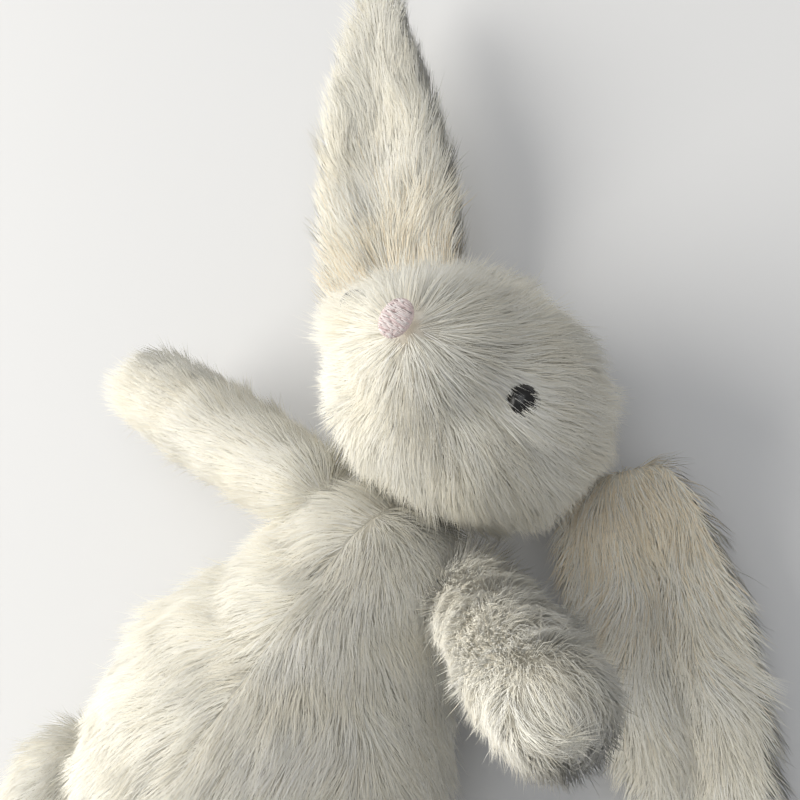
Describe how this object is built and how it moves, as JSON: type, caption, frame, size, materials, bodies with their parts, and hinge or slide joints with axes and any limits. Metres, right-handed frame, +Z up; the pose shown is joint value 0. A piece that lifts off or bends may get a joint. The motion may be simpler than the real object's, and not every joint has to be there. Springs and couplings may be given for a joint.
{
  "type": "plush bunny rabbit",
  "caption": "Soft plush bunny lying on its back, with a stuffed body, arms and legs, long padded leaf-shaped ears, glossy eyes and an embroidered nose.",
  "frame": {"origin": "middle of the flat patch under the torso, which the back rests on, at floor level", "axes": "+X to the bunny's left, +Y from its legs to its head, +Z up, from its back to its belly"},
  "size_m": [0.2678, 0.3886, 0.1209],
  "materials": {
    "plush": "matte",
    "plush_inner_ear": "matte",
    "stuffing": "matte",
    "beans": "matte",
    "eye": "gloss",
    "washer": "satin",
    "nose_thread": "satin",
    "seam_thread": "matte",
    "label_cloth": "satin"
  },
  "bodies": {
    "torso": {"belly_left_panel": "plush", "belly_right_panel": "plush", "back_panel": "plush", "torso_stuffing": "stuffing", "bean_pouch": "beans", "tail_panel": "plush", "tail_stuffing": "stuffing", "closing_seam": "seam_thread", "care_label": "label_cloth"},
    "head": {"head_left_panel": "plush", "head_right_panel": "plush", "head_gusset": "plush", "head_stuffing": "stuffing", "eye_left": "eye", "eye_right": "eye", "eye_washer_left": "washer", "eye_washer_right": "washer", "nose_embroidery": "nose_thread"},
    "ear_left": {"ear_left_inner_panel": "plush_inner_ear", "ear_left_outer_panel": "plush"},
    "arm_left": {"arm_left_upper_panel": "plush", "arm_left_lower_panel": "plush", "arm_left_stuffing": "stuffing"},
    "leg_left": {"leg_left_upper_panel": "plush", "leg_left_lower_panel": "plush", "sole_left": "plush", "leg_left_stuffing": "stuffing", "foot_beans_left": "beans"},
    "ear_right": {"ear_right_inner_panel": "plush_inner_ear", "ear_right_outer_panel": "plush"},
    "arm_right": {"arm_right_upper_panel": "plush", "arm_right_lower_panel": "plush", "arm_right_stuffing": "stuffing"},
    "leg_right": {"leg_right_upper_panel": "plush", "leg_right_lower_panel": "plush", "sole_right": "plush", "leg_right_stuffing": "stuffing", "foot_beans_right": "beans"}
  },
  "joints": [
    {"name": "neck_nod", "type": "hinge", "parent": "torso", "child": "head", "pos_m": [0, 0.063, 0.041], "axis": [1, 0, 0], "range_deg": [-8, 12]},
    {"name": "ear_left_swing", "type": "hinge", "parent": "head", "child": "ear_left", "pos_m": [0.044, 0.123, 0.021], "axis": [0.0831, -0.0891, 0.9925], "range_deg": [0, 95]},
    {"name": "ear_right_swing", "type": "hinge", "parent": "head", "child": "ear_right", "pos_m": [-0.044, 0.123, 0.021], "axis": [0.0525, -0.0696, 0.9962], "range_deg": [-2, 52]},
    {"name": "arm_left_swing", "type": "hinge", "parent": "torso", "child": "arm_left", "pos_m": [0.036, 0.073, 0.048], "axis": [0, -1, 0], "range_deg": [-38, 32]},
    {"name": "arm_right_swing", "type": "hinge", "parent": "torso", "child": "arm_right", "pos_m": [-0.036, 0.073, 0.048], "axis": [0, 1, 0], "range_deg": [-6, 92]},
    {"name": "leg_left_fold", "type": "hinge", "parent": "torso", "child": "leg_left", "pos_m": [0.046, -0.067, 0.025], "axis": [-1, 0, 0], "range_deg": [0, 90]},
    {"name": "leg_right_fold", "type": "hinge", "parent": "torso", "child": "leg_right", "pos_m": [-0.046, -0.067, 0.025], "axis": [-1, 0, 0], "range_deg": [0, 90]}
  ]
}
